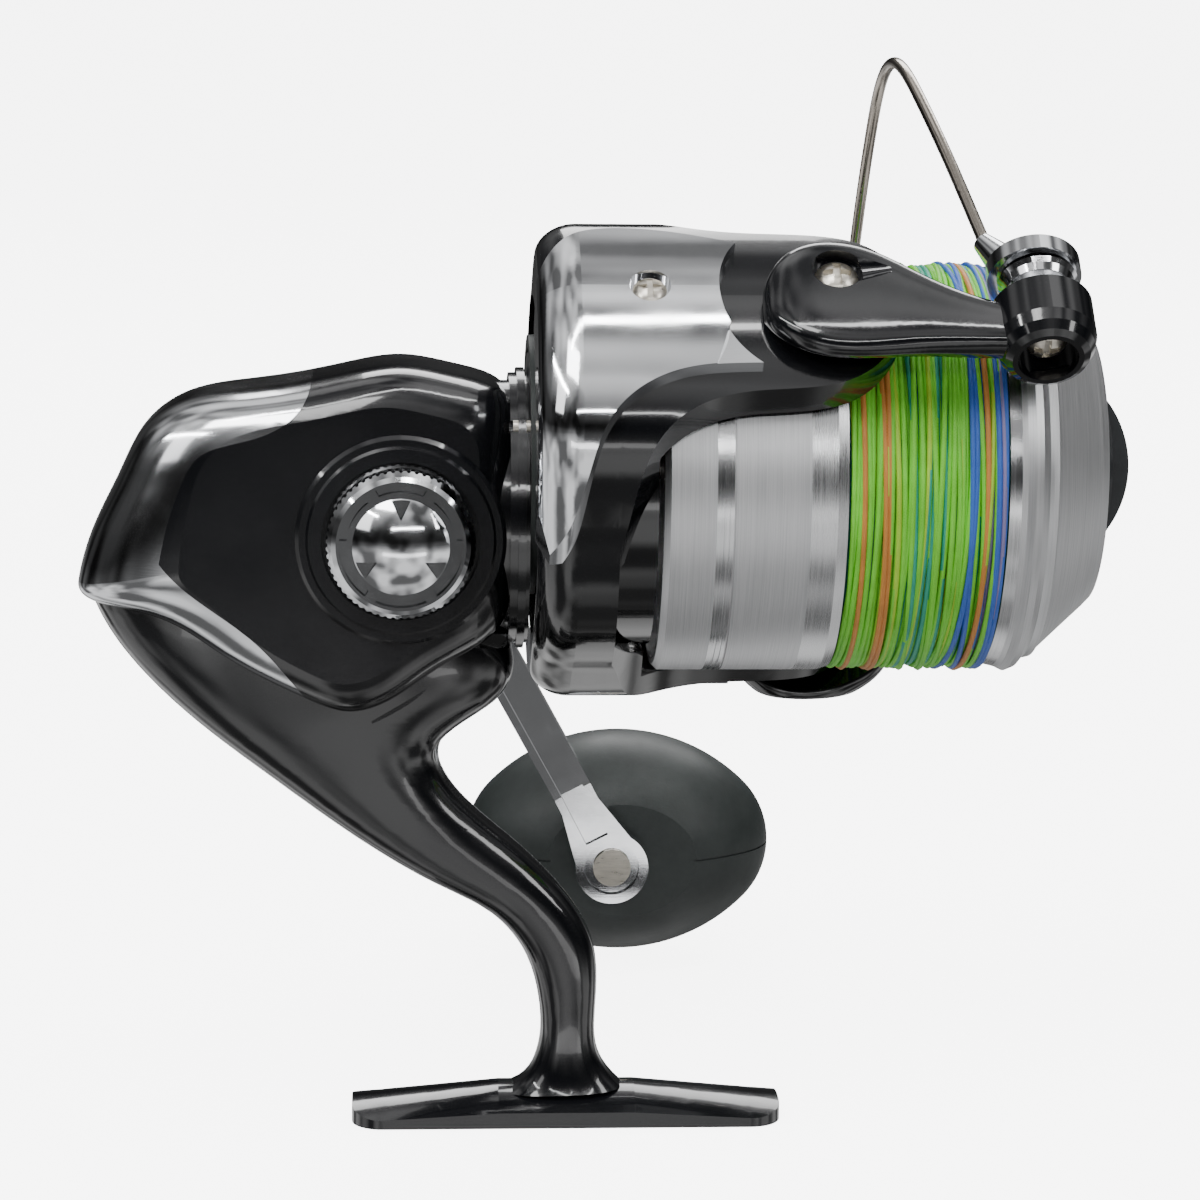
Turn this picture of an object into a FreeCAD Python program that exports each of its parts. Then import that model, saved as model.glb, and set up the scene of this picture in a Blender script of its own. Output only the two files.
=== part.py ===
import FreeCAD, Part
import math
import os

V = FreeCAD.Vector

# Driving dimensions, millimetres. X runs forward along the spool axis, Z up
# from the underside of the foot, and Y away from the side cover.
SHAFT_Z = 106.5          # height of the main shaft above the foot
DRIVE_X = -26.8          # handle axis
DRIVE_Z = 97.2
STROKE = 18.0            # travel of the spool along its axis
ARM_TILT = 42.0          # turn of the bail arm about the spool axis, degrees

FOOT_HALF = 34.6
FOOT_WIDTH = 16.0
BODY_HALF_WIDTH = 18.2
SPLIT_Y = -5.0           # parting face between frame and side cover
WALL = 2.3
NECK_FRONT = -7.0
NECK_MID_Z = 99.6

SPOOL_R = 32.3
SPOOL_REAR = 12.6
LINE_REAR = 40.2
LINE_FRONT = 64.6
LIP_X = 68.4
SPOOL_FRONT = 81.5
ARBOR_R = 20.0
LINE_R = 31.6

SHAFT_R = 2.2
PINION_TEETH = 9
GEAR_TEETH = 40
WORM_TEETH = 14
TOOTH_MODULE = 0.8
PINION_R = PINION_TEETH * TOOTH_MODULE / 2
WORM_GEAR_R = WORM_TEETH * TOOTH_MODULE / 2
GEAR_R = 15.6
GEAR_FACE_Y = -3.75       # tips of the ribs that face the pinion
TOOTH_X0, TOOTH_X1 = -18.6, -12.8
MESH_X = 10.2            # tooth contact, forward of the handle axis
HELIX_SLOPE = 0.62       # slope of the pinion teeth at their pitch radius
WORM_Y = 9.2
WORM_Z = SHAFT_Z + 2.0
ROD_Z = SHAFT_Z - 3.2
SLIDER_X = -57.5

ROTOR_REAR = -6.2
ARM_R = 39.5
ARM_INNER_R = 34.6
PIVOT_X = 37.9
LEVER_BASE = 39.7        # underside of the bail lever above the spool axis
ROLLER_X = 68.3
ROLLER_S = 42.0          # roller axis above the spool axis

CRANK_X = 38.5           # knob axis forward of the handle axis
CRANK_Z = -75.0          # knob axis below the handle axis
CRANK_Y = 73.0           # inner face of the handle arm at the knob end
HUB_Y = 50.0             # inner face of the handle arm at its hub
FIT = 0.05               # radial clearance of running fits


# Basic solids -------------------------------------------------------------

def cyl_x(r, x0, x1, y=0.0, z=SHAFT_Z):
    return Part.makeCylinder(r, x1 - x0, V(x0, y, z), V(1, 0, 0))


def cyl_y(r, y0, y1, x=DRIVE_X, z=DRIVE_Z):
    return Part.makeCylinder(r, y1 - y0, V(x, y0, z), V(0, 1, 0))


def ring_x(r_out, r_in, x0, x1, y=0.0, z=SHAFT_Z):
    return cyl_x(r_out, x0, x1, y, z).cut(cyl_x(r_in, x0 - 1, x1 + 1, y, z))


def ring_y(r_out, r_in, y0, y1, x=DRIVE_X, z=DRIVE_Z):
    return cyl_y(r_out, y0, y1, x, z).cut(cyl_y(r_in, y0 - 1, y1 + 1, x, z))


def box(x0, x1, y0, y1, z0, z1):
    return Part.makeBox(x1 - x0, y1 - y0, z1 - z0, V(x0, y0, z0))


def polygon(points):
    return Part.Face(Part.makePolygon(points + [points[0]]))


def turned_x(profile):
    """Solid of revolution about the spool axis from (x, radius) points."""
    face = polygon([V(x, 0, SHAFT_Z + r) for x, r in profile])
    return face.revolve(V(0, 0, SHAFT_Z), V(1, 0, 0), 360)


def turned_y(profile, x=DRIVE_X, z=DRIVE_Z):
    """Solid of revolution about a cross axis from (y, radius) points."""
    face = polygon([V(x, y, z + r) for y, r in profile])
    return face.revolve(V(x, 0, z), V(0, 1, 0), 360)


def hexagon_x(flat, x0, x1, z=SHAFT_Z):
    r = flat / math.sqrt(3)
    pts = [V(x0, r * math.cos(a), z + r * math.sin(a))
           for a in [math.radians(60 * k) for k in range(6)]]
    return polygon(pts).extrude(V(x1 - x0, 0, 0))


def closed_spline(points):
    curve = Part.BSplineCurve()
    curve.interpolate(Points=points, PeriodicFlag=True)
    return Part.Wire([curve.toShape()])


def open_spline(points):
    curve = Part.BSplineCurve()
    curve.interpolate(Points=points)
    return curve.toShape()


def fuse(first, *others):
    return first.multiFuse(list(others)).removeSplitter()


def cut_all(base, *tools):
    for tool in tools:
        base = base.cut(tool)
    return base


def turned_copies(shape, count, centre, axis):
    copies = []
    for k in range(count):
        copy = shape.copy()
        copy.rotate(centre, axis, 360.0 * k / count)
        copies.append(copy)
    return copies


def cross_recess(radius, depth, top, axis):
    """Phillips recess that opens at top against the axis direction."""
    width = radius * 0.34
    cross = Part.makeBox(2 * radius * 0.62, width, depth, V(-radius * 0.62, -width / 2, -depth))
    other = cross.copy()
    other.rotate(V(0, 0, 0), V(0, 0, 1), 90)
    cross = cross.fuse(other)
    cross.Placement = FreeCAD.Placement(top, FreeCAD.Rotation(V(0, 0, 1), axis))
    return cross


def pan_screw(top, axis, head_r, head_h, shank_r, length):
    """Domed Phillips screw whose head top sits at top, head facing along axis."""
    unit = V(axis).normalize()
    dome = Part.makeSphere(head_r * 1.25, V(0, 0, head_h - head_r * 1.25))
    head = Part.makeCylinder(head_r, head_h).common(dome)
    shank = Part.makeCylinder(shank_r, length, V(0, 0, -length))
    screw = head.fuse(shank).removeSplitter()
    screw.translate(V(0, 0, -head_h))
    screw.Placement = FreeCAD.Placement(top, FreeCAD.Rotation(V(0, 0, 1), unit)).multiply(screw.Placement)
    return screw.cut(cross_recess(head_r, head_h * 0.55, top, unit))


# Rotor arm frame: x along the spool, t across the arm, s outward ------------

def to_arm(shape, opposite=False):
    placed = shape.copy()
    turn = ARM_TILT + (180.0 if opposite else 0.0)
    placed.rotate(V(0, 0, 0), V(1, 0, 0), turn)
    placed.translate(V(0, 0, SHAFT_Z))
    return placed


def arm_dir(t, s, opposite=False):
    a = math.radians(ARM_TILT + (180.0 if opposite else 0.0))
    return V(0, t * math.cos(a) - s * math.sin(a), t * math.sin(a) + s * math.cos(a))


def arm_point(x, t, s, opposite=False):
    return arm_dir(t, s, opposite) + V(x, 0, SHAFT_Z)


def sector(r_out, r_in, x0, x1, half_angle):
    """Curved plate centred on s, in the arm frame."""
    a = math.radians(half_angle)
    far = (r_out + 5) / math.cos(a)
    wedge = polygon([V(x0, 0, 0), V(x0, far * math.sin(a), far * math.cos(a)),
                     V(x0, -far * math.sin(a), far * math.cos(a))]).extrude(V(x1 - x0, 0, 0))
    axis = V(1, 0, 0)
    tube = Part.makeCylinder(r_out, x1 - x0, V(x0, 0, 0), axis).cut(
        Part.makeCylinder(r_in, x1 - x0, V(x0, 0, 0), axis))
    return tube.common(wedge)


def plan_prism(points, s0, s1):
    """Prism from a smooth (x, t) outline between two heights."""
    wire = closed_spline([V(x, t, s0) for x, t in points])
    return Part.Face(wire).extrude(V(0, 0, s1 - s0))


# Body ------------------------------------------------------------------------

BODY_OUTLINE = [
    (-77.2, 88.6), (-74.2, 98.3), (-70.6, 105.6), (-67.0, 112.4), (-61.5, 116.8),
    (-50.2, 119.2), (-42.0, 120.4), (-35.4, 121.8), (-26.8, 123.1), (-18.2, 121.7),
    (-10.5, 118.6), (-8.6, 108.0), (-8.6, 94.0), (-11.0, 82.4), (-20.7, 75.6),
    (-28.4, 70.4), (-35.0, 68.6), (-41.3, 70.6), (-54.9, 77.6), (-68.0, 84.2),
]
BODY_CENTRE = (-38.0, 97.0)


def pillow(scale, half_width):
    """Rounded gear housing, fullest at mid width and narrow at the tail."""
    levels = [-0.93, -0.86, -0.72, -0.45, 0.0, 0.45, 0.72, 0.86, 0.93]
    wires = []
    cx, cz = BODY_CENTRE
    for level in levels:
        points = []
        for x, z in BODY_OUTLINE:
            tail = min(1.0, max(0.0, (-48.0 - x) / 29.0))
            power = 5.0 - 2.0 * tail
            fill = scale * (1.0 - abs(level) ** power) ** (1.0 / power)
            points.append(V(cx + (x - cx) * fill, level * half_width, cz + (z - cz) * fill))
        wires.append(closed_spline(points))
    return Part.makeLoft(wires, True, False)


STEM_SECTIONS = [
    # front x, front z, rear x, rear z, thickness
    (9.0, 5.2, -10.2, 4.6, 12.5),
    (5.4, 10.0, -5.0, 9.8, 10.6),
    (4.8, 20.0, -4.5, 19.4, 10.4),
    (4.2, 28.6, -6.6, 27.0, 10.8),
    (-0.5, 37.2, -12.4, 34.2, 11.6),
    (-7.2, 44.2, -21.5, 39.2, 12.8),
    (-14.2, 50.2, -34.5, 47.2, 14.6),
    (-19.8, 56.6, -49.0, 58.0, 18.0),
    (-20.0, 62.6, -62.5, 69.0, 21.5),
    (-14.0, 67.2, -71.5, 79.0, 23.5),
    (-9.4, 78.0, -75.0, 86.0, 24.0),
]


def stem_section(front_x, front_z, rear_x, rear_z, thick):
    """Rounded section across the stem, with its long side front to rear."""
    mid = V((front_x + rear_x) / 2, 0, (front_z + rear_z) / 2)
    half = V(front_x, 0, front_z) - mid
    points = []
    for k in range(16):
        a = 2 * math.pi * k / 16
        c, s = math.cos(a), math.sin(a)
        u = math.copysign(abs(c) ** 0.72, c)
        w = math.copysign(abs(s) ** 0.72, s)
        points.append(mid + half * u + V(0, w * thick / 2, 0))
    return closed_spline(points)


def stem():
    return Part.makeLoft([stem_section(*s) for s in STEM_SECTIONS], True, False)


def foot_section(x, edge, crown):
    """Flat underside, low sides and a crowned top."""
    w = FOOT_WIDTH / 2
    low_left, low_right = V(x, -w, 0), V(x, w, 0)
    top_left, top_right = V(x, -w, edge), V(x, w, edge)
    arc = Part.Arc(top_right, V(x, 0, crown), top_left).toShape()
    return Part.Wire([Part.makeLine(low_left, low_right), Part.makeLine(low_right, top_right),
                      arc, Part.makeLine(top_left, low_left)])


def foot():
    levels = [(-FOOT_HALF, 1.2, 3.0), (-11.0, 2.6, 5.4), (11.0, 2.6, 5.4), (FOOT_HALF, 1.2, 3.0)]
    blade = Part.makeLoft([foot_section(*v) for v in levels], True, True)
    w = FOOT_WIDTH / 2
    r = 5.0
    flat = FOOT_HALF - r
    plan = box(-flat, flat, -w, w, -1, 12).fuse(box(-FOOT_HALF, FOOT_HALF, -w + r, w - r, -1, 12))
    for sx in (-1, 1):
        for sy in (-1, 1):
            plan = plan.fuse(Part.makeCylinder(r, 13, V(sx * flat, sy * (w - r), -1)))
    return blade.common(plan.removeSplitter())


def oval_disc(half, rise, x0, x1):
    """Upright oval disc behind the rotor."""
    points = [V(x0, half * math.cos(a), NECK_MID_Z + rise * math.sin(a))
              for a in [math.radians(22.5 * k) for k in range(16)]]
    return Part.Face(closed_spline(points)).extrude(V(x1 - x0, 0, 0))


def neck():
    """Oval collar with a wider rim that the rotor turns against."""
    return fuse(oval_disc(15.5, 20.2, -15.0, -9.0), oval_disc(18.6, 21.4, -10.0, NECK_FRONT),
                oval_disc(19.6, 22.2, -8.8, NECK_FRONT - 0.6))


def guard_region():
    """Reach of the rear guard, seen from the side."""
    upper = [(-40.4, 121.6), (-43.5, 115.6), (-50.0, 112.4), (-57.5, 109.8), (-60.8, 104.2),
             (-62.6, 98.7), (-63.8, 93.2)]
    lower = [(-63.8, 93.2), (-56.0, 86.2), (-49.8, 81.6), (-45.0, 76.4), (-41.6, 71.6)]
    around = [(-41.6, 71.6), (-45.0, 66.0), (-90.0, 66.0), (-90.0, 130.0), (-40.4, 130.0), (-40.4, 121.6)]
    edges = [open_spline([V(x, -30, z) for x, z in upper]), open_spline([V(x, -30, z) for x, z in lower])]
    edges += Part.makePolygon([V(x, -30, z) for x, z in around]).Edges
    return Part.Face(Part.Wire(edges)).extrude(V(0, 60, 0))


def gearbox_parts():
    """Frame casting, side cover and rear guard cut from one housing shape."""
    outer = pillow(1.0, BODY_HALF_WIDTH)
    skin = pillow(0.975, BODY_HALF_WIDTH - 0.7)
    cavity = pillow(0.915, BODY_HALF_WIDTH - WALL)
    cavity = cavity.cut(box(-12.5, 0, -30, 30, 60, 130)).fuse(cyl_y(GEAR_R + 0.6, -12.8, -3.4))
    region = guard_region()
    near_half = box(-95, NECK_FRONT - 8.0, -30, SPLIT_Y, 60, 130)
    guard = outer.common(region).cut(skin)
    shell = outer.cut(cavity)
    inner_shell = skin.cut(cavity).common(region).fuse(shell.cut(region))
    cover = inner_shell.common(near_half)
    far = inner_shell.cut(near_half)
    legs = stem().fuse(foot()).cut(outer)
    far = far.fuse(legs).fuse(neck().cut(cavity))
    return far, cover.cut(neck()), guard


def body_frame(far):
    """Adds bearing seats, rod seats and the stem relief to the casting."""
    inside = pillow(0.95, 16.8)
    seats = [
        cyl_x(10.4, -12.5, NECK_FRONT - 0.2),
        box(-23.8, -20.0, -3.3, 16.0, SHAFT_Z - 5.6, SHAFT_Z + 12.0).cut(cyl_y(3.9, -10, 20)),
        cyl_y(9.0, 11.0, 17.4),
        box(-30.0, -27.0, 5.0, 17.0, 101.4, SHAFT_Z - 1.4),
        box(-67.0, -62.4, 2.0, 14.0, SHAFT_Z - 6.0, WORM_Z + 4.0),
    ]
    frame = far
    for seat in seats:
        frame = frame.fuse(seat.common(inside))
    holes = [
        cyl_y(6.5, 12.6, 16.4), cyl_y(4.6, 9.0, 17.2), cyl_y(9.2, 17.0, 22.0),
        cyl_y(GEAR_R + 0.4, -12.8, -3.4), cyl_x(WORM_GEAR_R + 0.9, -19.2, -12.4, WORM_Y, WORM_Z),
        cyl_x(8.0, -10.2, -6.0), cyl_x(5.4, -13.0, -5.0), cyl_x(3.9, -23.2, -20.4),
        cyl_x(3.4, -24.0, -19.0), cyl_x(SHAFT_R + 0.5, -68.0, -60.0),
        cyl_x(1.5, -65.0, -26.0, 9.0, ROD_Z),
        cyl_x(2.8, -24.0, -19.0, WORM_Y, WORM_Z), cyl_x(2.8, -64.7, -61.0, WORM_Y, WORM_Z),
        cyl_x(3.3, -62.3, -50.0, WORM_Y, WORM_Z),
    ]
    recess = box(-32.0, -10.0, -20.0, -10.8, 69.6, 73.4)
    recess.rotate(V(-21, 0, 71.5), V(0, 1, 0), -31)
    return cut_all(frame, recess, *holes)


def side_cover(shell):
    """Cover shell with the stepped boss round the second handle opening."""
    boss = turned_y([(-18.8, 12.2), (-18.8, 14.2), (-18.0, 14.6), (-18.0, 15.6), (-17.4, 16.2),
                     (-13.4, 16.2), (-13.4, 0), (-17.4, 0), (-17.4, 12.2)])
    seat = ring_y(8.4, 6.5, -16.6, -13.0)
    cover = shell.cut(cyl_y(15.9, -19.0, -13.4)).fuse(boss).fuse(seat)
    return cut_all(cover, cyl_y(6.5, -16.6, -12.0), cyl_y(3.9, -18.0, -12.0))


def screw_cap():
    base = turned_y([(-18.4, 0), (-18.4, 11.0), (-19.2, 11.4), (-22.0, 11.4), (-23.0, 10.6),
                     (-23.6, 9.9), (-23.6, 0)])
    notch = cyl_y(0.36, -22.4, -18.9, DRIVE_X, DRIVE_Z + 11.5)
    base = cut_all(base, *turned_copies(notch, 60, V(DRIVE_X, 0, DRIVE_Z), V(0, 1, 0)))
    groove = ring_y(9.4, 8.3, -25.0, -22.6)
    dome = Part.makeSphere(13.0, V(DRIVE_X, -13.2, DRIVE_Z)).common(cyl_y(7.4, -27.0, -23.0))
    cap = base.cut(groove).fuse(dome)
    bridge = box(DRIVE_X + 8.0, DRIVE_X + 9.6, -23.6, -22.5, DRIVE_Z - 0.9, DRIVE_Z + 0.9)
    for copy in turned_copies(bridge, 6, V(DRIVE_X, 0, DRIVE_Z), V(0, 1, 0)):
        cap = cap.fuse(copy)
    wedge = polygon([V(DRIVE_X - 1.9, -28, DRIVE_Z + 8.0), V(DRIVE_X + 1.9, -28, DRIVE_Z + 8.0),
                     V(DRIVE_X, -28, DRIVE_Z + 4.2)]).extrude(V(0, 4.0, 0))
    for copy in turned_copies(wedge, 3, V(DRIVE_X, 0, DRIVE_Z), V(0, 1, 0)):
        cap = cap.cut(copy)
    return cap.fuse(cyl_y(3.4, -19.0, -16.9).cut(cyl_y(2.2, -19.2, -16.0)))


# Drive train -------------------------------------------------------------------

def drive_gear():
    """Face gear: slanted ribs on a rim that looks towards the pinion."""
    centre, axis = V(DRIVE_X, 0, DRIVE_Z), V(0, 1, 0)
    gear = ring_y(GEAR_R, 4.5, -9.0, -7.2).fuse(ring_y(8.0, 4.5, -12.0, -7.2))
    gear = gear.fuse(ring_y(GEAR_R, 11.9, -7.4, -5.5))
    for copy in turned_copies(cyl_y(1.7, -9.5, -7.0, DRIVE_X + 9.9), 6, centre, axis):
        gear = gear.cut(copy)
    offset = SHAFT_Z - DRIVE_Z
    mesh_r = math.hypot(MESH_X, offset)
    radial = math.degrees(math.atan2(offset, MESH_X))
    lean = radial - math.degrees(math.atan(HELIX_SLOPE))
    rib = box(DRIVE_X + mesh_r - 1.6, DRIVE_X + mesh_r + 1.5, -5.6, GEAR_FACE_Y, DRIVE_Z - 0.3, DRIVE_Z + 0.3)
    rib.rotate(V(DRIVE_X + mesh_r, 0, DRIVE_Z), axis, lean)
    rib.rotate(centre, axis, 180.0 / GEAR_TEETH - radial)
    return gear.multiFuse(turned_copies(rib, GEAR_TEETH, centre, axis))


def toothed_bar(teeth, root, tip, x0, x1, phase, twist, y=0.0, z=SHAFT_Z):
    """Helical gear as a loft through turned copies of one outline, angles in degrees."""
    steps = 5
    wires = []
    for k in range(steps + 1):
        x = x0 + (x1 - x0) * k / steps
        turn = math.radians(phase + twist * k / steps)
        points = []
        for i in range(teeth):
            for share, r in ((-0.30, root), (-0.12, tip), (0.12, tip), (0.30, root)):
                a = turn + 2 * math.pi * (i + share) / teeth
                points.append(V(x, y + r * math.cos(a), z + r * math.sin(a)))
        wires.append(Part.makePolygon(points + [points[0]]))
    return Part.makeLoft(wires, True, True)


TWIST_RATE = math.degrees(HELIX_SLOPE / PINION_R)
PINION_PHASE = TWIST_RATE * (DRIVE_X + MESH_X - TOOTH_X0) - 180.0


def worm_phase():
    """Turn of the worm gear that puts a gap where the pinion has a tooth."""
    pitch = 360.0 / PINION_TEETH
    line = math.degrees(math.atan2(WORM_Z - SHAFT_Z, WORM_Y))
    ahead = (PINION_PHASE - line) % pitch
    gap = line + 180.0 - ahead * PINION_TEETH / WORM_TEETH
    return gap - 180.0 / WORM_TEETH


def pinion_gear():
    teeth = toothed_bar(PINION_TEETH, PINION_R - 0.7, PINION_R + 0.7, TOOTH_X0, TOOTH_X1,
                        PINION_PHASE, -TWIST_RATE * (TOOTH_X1 - TOOTH_X0))
    body = fuse(teeth, cyl_x(3.0, -23.4, -12.0), cyl_x(4.6, -12.8, 9.0), cyl_x(3.9, 9.0, 13.8))
    body = body.cut(cyl_x(SHAFT_R + FIT, -24, 15))
    for side in (-1, 1):
        body = body.cut(box(5.0, 9.01, 3.9 if side > 0 else -6, 6 if side > 0 else -3.9,
                            SHAFT_Z - 6, SHAFT_Z + 6))
    return body


def bearing_x(r_out, r_in, x0, x1, y=0.0, z=SHAFT_Z):
    """Shielded ball bearing with shallow shield grooves."""
    wall = r_out - r_in
    body = ring_x(r_out, r_in, x0, x1, y, z)
    for a, b in ((x0 - 1, x0 + 0.25), (x1 - 0.25, x1 + 1)):
        body = body.cut(ring_x(r_out - wall * 0.25, r_in + wall * 0.25, a, b, y, z))
    return body


def bearing_y(r_out, r_in, y0, y1, x=DRIVE_X, z=DRIVE_Z):
    wall = r_out - r_in
    body = ring_y(r_out, r_in, y0, y1, x, z)
    for a, b in ((y0 - 1, y0 + 0.25), (y1 - 0.25, y1 + 1)):
        body = body.cut(ring_y(r_out - wall * 0.25, r_in + wall * 0.25, a, b, x, z))
    return body


def drive_shaft():
    shaft = cyl_y(3.5, -16.8, 30.0).fuse(cyl_y(4.5, -12.0, -5.4))
    return shaft.cut(cyl_y(2.05, -18, 31.0))


def handle_collar():
    body = turned_y([(17.6, 0), (17.6, 8.6), (19.0, 9.0), (24.0, 8.4), (31.0, 7.4), (33.0, 6.4),
                     (44.0, 5.8), (HUB_Y - 2.0, 6.4), (HUB_Y, 6.4), (HUB_Y, 0)])
    return body.cut(cyl_y(3.5, 17.0, 30.0)).cut(cyl_y(2.05, 16, 60))


CRANK_LENGTH = math.hypot(CRANK_X, CRANK_Z)


def handle_arm():
    """Crank in its own frame, u along the arm, then laid on the crank line."""
    length = CRANK_LENGTH
    start_y, end_y = HUB_Y, CRANK_Y
    thick = 4.0
    side = polygon([V(-6.6, start_y, 0), V(11.0, start_y, 0), V(length - 16, end_y, 0),
                    V(length + 8, end_y, 0), V(length + 8, end_y + thick, 0),
                    V(length - 17, end_y + thick, 0), V(10.0, start_y + thick, 0),
                    V(-6.6, start_y + thick, 0)]).extrude(V(0, 0, 20))
    side.translate(V(0, 0, -10))
    plan = box(0, length, 30, 90, -3.6, 3.6)
    for u, r in ((0.0, 6.6), (length, 6.6)):
        plan = plan.fuse(Part.makeCylinder(r, 60, V(u, 30, 0), V(0, 1, 0)))
    flare = polygon([V(length - 13.0, 30, -3.6), V(length - 13.0, 30, 3.6), V(length - 2, 30, 5.9),
                     V(length - 2, 30, -5.9)]).extrude(V(0, 60, 0))
    plan = plan.fuse(flare)
    bar = side.common(plan)
    channel = box(13.0, length - 6, 30, end_y + 0.8, -2.2, 2.2)
    ramp = polygon([V(10.0, start_y - 1, 0), V(10.0, start_y + 0.9, 0), V(length - 16, end_y + 0.9, 0),
                    V(length - 2, end_y + 0.9, 0), V(length - 2, start_y - 1, 0)]).extrude(V(0, 0, 12))
    ramp.translate(V(0, 0, -6))
    bar = bar.cut(channel.common(ramp))
    bar = bar.cut(Part.makeCylinder(4.9, 0.9, V(length, end_y, 0), V(0, 1, 0)))
    bar = bar.cut(Part.makeCylinder(2.4, 80, V(length, 20, 0), V(0, 1, 0)))
    bar = bar.cut(Part.makeCylinder(2.2, 80, V(0, 20, 0), V(0, 1, 0)))
    angle = math.degrees(math.atan2(-CRANK_Z, CRANK_X))
    bar.rotate(V(0, 0, 0), V(0, 1, 0), angle)
    bar.translate(V(DRIVE_X, 0, DRIVE_Z))
    return bar


KNOB_X = DRIVE_X + CRANK_X
KNOB_Z = DRIVE_Z + CRANK_Z
KNOB_Y = CRANK_Y + 22.0
KNOB_LONG = 28.2
KNOB_ROUND = 20.5
KNOB_END_R = 15.2
KNOB_SHIFT = 2.2          # the grip sits a little forward of its shaft


def knob_shaft():
    y = CRANK_Y
    body = turned_y([(y + 0.1, 0), (y + 0.1, 3.4), (y + 0.9, 3.4), (y + 0.9, 2.4), (y + 4.0, 2.4),
                     (y + 4.0, 3.6), (y + 5.0, 3.6), (y + 5.0, 2.0), (y + 36.0, 2.0), (y + 36.0, 0)],
                    KNOB_X, KNOB_Z)
    return body


def handle_knob():
    centre = V(KNOB_X + KNOB_SHIFT, KNOB_Y + 1.0, KNOB_Z)
    shift = KNOB_LONG - KNOB_END_R
    drop = (shift ** 2 - (KNOB_ROUND - KNOB_END_R) ** 2) / (2 * (KNOB_ROUND - KNOB_END_R))
    side_r = KNOB_ROUND + drop
    lean = math.atan2(shift, drop)
    joint = V(side_r * math.sin(lean), 0, side_r * math.cos(lean) - drop)
    other = V(-joint.x, 0, joint.z)
    bend = math.pi / 4 - lean / 2
    tip = V(shift + KNOB_END_R * math.cos(bend), 0, KNOB_END_R * math.sin(bend))
    right, left = V(KNOB_LONG, 0, 0), V(-KNOB_LONG, 0, 0)
    edges = [Part.Arc(right, tip, joint).toShape(), Part.Arc(joint, V(0, 0, KNOB_ROUND), other).toShape(),
             Part.Arc(other, V(-tip.x, 0, tip.z), left).toShape(), Part.makeLine(left, right)]
    ball = Part.Face(Part.Wire(edges)).revolve(V(0, 0, 0), V(1, 0, 0), 360)
    core = ball.copy()
    core.scale(0.988, V(0, 0, 0))
    seam = ball.cut(core).common(box(-40, 40, -40, 40, -0.16, 0.16))
    ball = ball.cut(seam)
    ball.translate(centre)
    base = cyl_y(7.5, CRANK_Y + 5.4, KNOB_Y, KNOB_X, KNOB_Z)
    knob = ball.fuse(base).cut(box(-40, 60, 0, CRANK_Y + 5.4, -20, 60))
    bore = cyl_y(2.6, CRANK_Y, KNOB_Y + 15.5, KNOB_X, KNOB_Z)
    pockets = [cyl_y(4.0, CRANK_Y + 5.0, CRANK_Y + 9.0, KNOB_X, KNOB_Z),
               cyl_y(4.0, KNOB_Y + 9.0, KNOB_Y + 13.0, KNOB_X, KNOB_Z),
               cyl_y(5.5, KNOB_Y + 13.0, KNOB_Y + 24.0, KNOB_X, KNOB_Z)]
    return cut_all(knob, bore, *pockets)


# Rotor --------------------------------------------------------------------------

ARM_HALF = 23.0
COVER_SCREW_X = 10.2
SPRING_X = 20.0
RING_R = 32.2            # rotor radius between its arms
COVER_REAR_R = 27.0      # opening that the covers leave round the neck
BAIL_SWING = -105.0


def yoke_radius(angle):
    """Outer radius of the rotor at an angle from the line of its arms."""
    off = abs((math.degrees(angle) + 90.0) % 180.0 - 90.0)
    share = min(1.0, max(0.0, (off - 25.0) / 40.0))
    return RING_R + (ARM_R - RING_R) * (1.0 + math.cos(math.pi * share)) / 2.0


def yoke_section(x, grow):
    points = []
    for k in range(48):
        a = 2 * math.pi * k / 48
        r = yoke_radius(a) + grow
        points.append(V(x, r * math.sin(a), r * math.cos(a)))
    return closed_spline(points)


def yoke(grow, end_x):
    """Solid outer shape of the rotor in the arm frame, rounded at the rear."""
    rear = [yoke_section(x - grow * 0.18 * drop / 4.6, grow - drop)
            for x, drop in ((ROTOR_REAR, 4.6), (-5.7, 3.0), (-4.4, 1.5), (-2.4, 0.4), (0.0, 0.0))]
    front = Part.Face(yoke_section(0.0, grow)).extrude(V(end_x, 0, 0))
    return Part.makeLoft(rear, True, False).fuse(front)


ARM_PLAN = [(1.0, 34.0), (6.0, 29.0), (10.5, 22.6), (16.5, 18.2), (25.0, 16.0), (34.0, 15.4), (42.0, 13.2),
            (47.2, 7.4), (48.8, 0.0), (47.2, -7.4), (42.0, -13.2), (34.0, -15.4), (25.0, -16.0),
            (16.5, -18.2), (10.5, -22.6), (6.0, -29.0), (1.0, -34.0)]


def rotor_arm():
    """One arm in the arm frame, flaring into the rotor at its root."""
    plan = plan_prism(ARM_PLAN, 10.0, 60.0)
    arm = yoke(0.0, 50.0).common(plan).common(box(5.5, 60, -40, 40, 0, 60))
    arm = arm.cut(Part.makeCylinder(29.6, 60, V(0, 0, 0), V(1, 0, 0)))
    arm = arm.cut(Part.makeCylinder(ARM_INNER_R, 60, V(11.6, 0, 0), V(1, 0, 0)))
    bore = Part.makeCylinder(2.2, 20, V(PIVOT_X, 0, 25), V(0, 0, 1))
    cover_hole = Part.makeCylinder(1.4, 6, V(COVER_SCREW_X, 0, 34), V(0, 0, 1))
    spring_pocket = Part.makeCylinder(3.3, 4.0, V(SPRING_X, 0, 33.4), V(0, 0, 1))
    leg_slot = box(SPRING_X, SPRING_X + 11.0, -0.6, 0.6, 33.4, 37.4)
    return cut_all(arm, bore, cover_hole, spring_pocket, leg_slot)


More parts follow.
